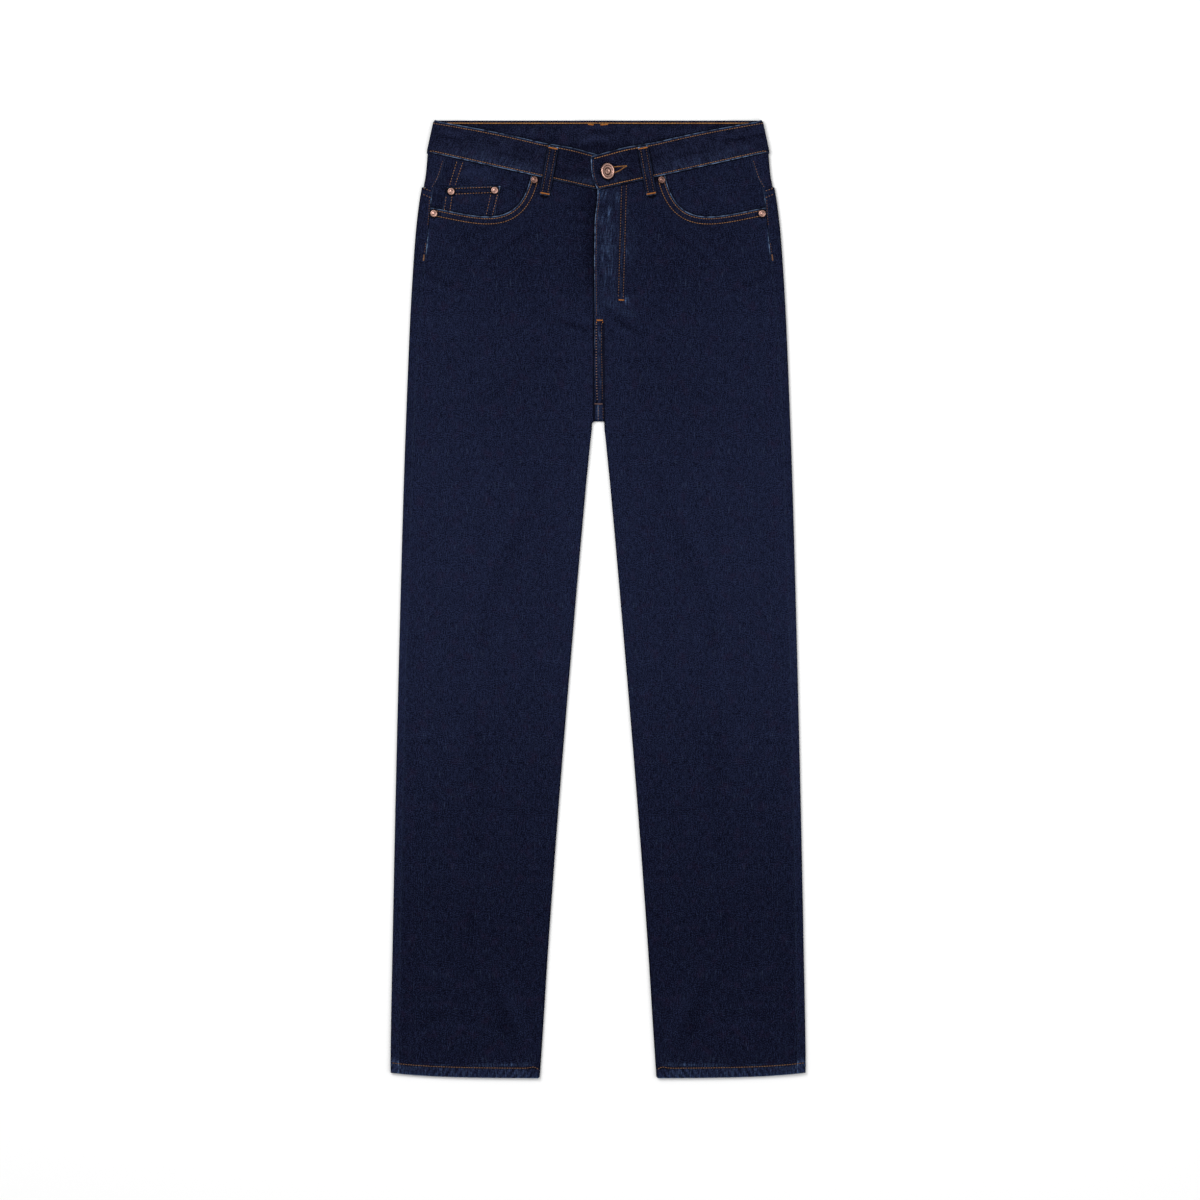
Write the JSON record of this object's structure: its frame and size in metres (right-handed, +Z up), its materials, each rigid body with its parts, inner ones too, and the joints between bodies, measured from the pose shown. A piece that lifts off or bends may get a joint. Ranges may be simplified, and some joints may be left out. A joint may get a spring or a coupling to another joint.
{
  "type": "straight leg jeans",
  "caption": "Straight leg denim jeans, fastened and laid flat on their back, with a fly front, hand pockets, a coin pocket, belt loops and a shank button.",
  "frame": {"origin": "centre of the laid-out garment's bounding box, on the surface that it lies on", "axes": "+Y from hems to waist, +X towards the wearer's left, +Z up out of the front of the garment"},
  "size_m": [0.4984, 1.1498, 0.0173],
  "materials": {
    "denim": "dark indigo twill, faintly worn along seams",
    "copper": "rose copper plating, softly worn"
  },
  "bodies": {
    "root": {"front_panel_right": "denim", "front_panel_left": "denim", "back_panel_right": "denim", "back_panel_left": "denim", "yoke_right": "denim", "yoke_left": "denim", "pocket_facing_right": "denim", "pocket_facing_left": "denim", "coin_pocket": "denim", "back_pocket_right": "denim", "back_pocket_left": "denim", "waistband": "denim", "belt_loop_front_right": "denim", "belt_loop_front_left": "denim", "belt_loop_back_right": "denim", "belt_loop_back_left": "denim", "belt_loop_centre_back": "denim", "button": "copper", "rivet_waist_right": "copper", "rivet_waist_left": "copper", "rivet_side_right": "copper", "rivet_side_left": "copper", "rivet_coin_outer": "copper", "rivet_coin_inner": "copper"}
  },
  "joints": []
}
